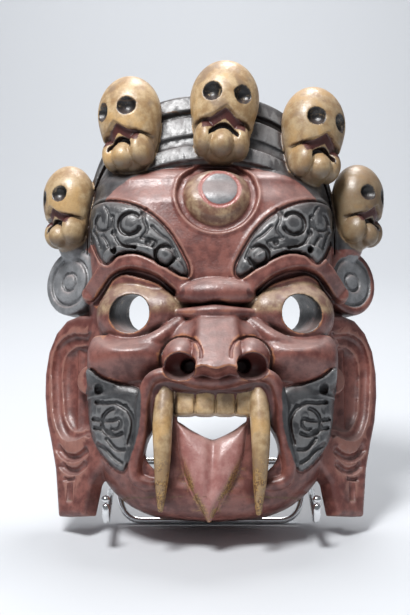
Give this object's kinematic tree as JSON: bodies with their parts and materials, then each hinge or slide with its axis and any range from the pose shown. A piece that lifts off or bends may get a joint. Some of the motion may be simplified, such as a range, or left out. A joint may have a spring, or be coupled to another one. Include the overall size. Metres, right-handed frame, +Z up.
{
  "type": "tibetan cham mask on a wire cradle",
  "caption": "Carved and painted wooden protector mask with skull crown, fangs and tongue, leaning back on a chromed wire display cradle.",
  "frame": {"origin": "on the table, under the middle of the object's box", "axes": "+Z up, the face looks along -Y and leans back, +X to the viewer's right"},
  "size_m": [0.2476, 0.2162, 0.3239],
  "materials": {
    "carving": "worn red, slate, ochre and ivory paint on carved wood, rubbed and dusty",
    "wire": "bright chromed wire",
    "tip": "bright clear-capped wire end"
  },
  "bodies": {
    "root": {"mask": "carving", "front_frame": "wire", "top_bar": "wire", "rear_prop": "wire", "hook_left": "wire", "hook_right": "wire", "prong_tip_left": "tip", "prong_tip_right": "tip"}
  },
  "joints": []
}
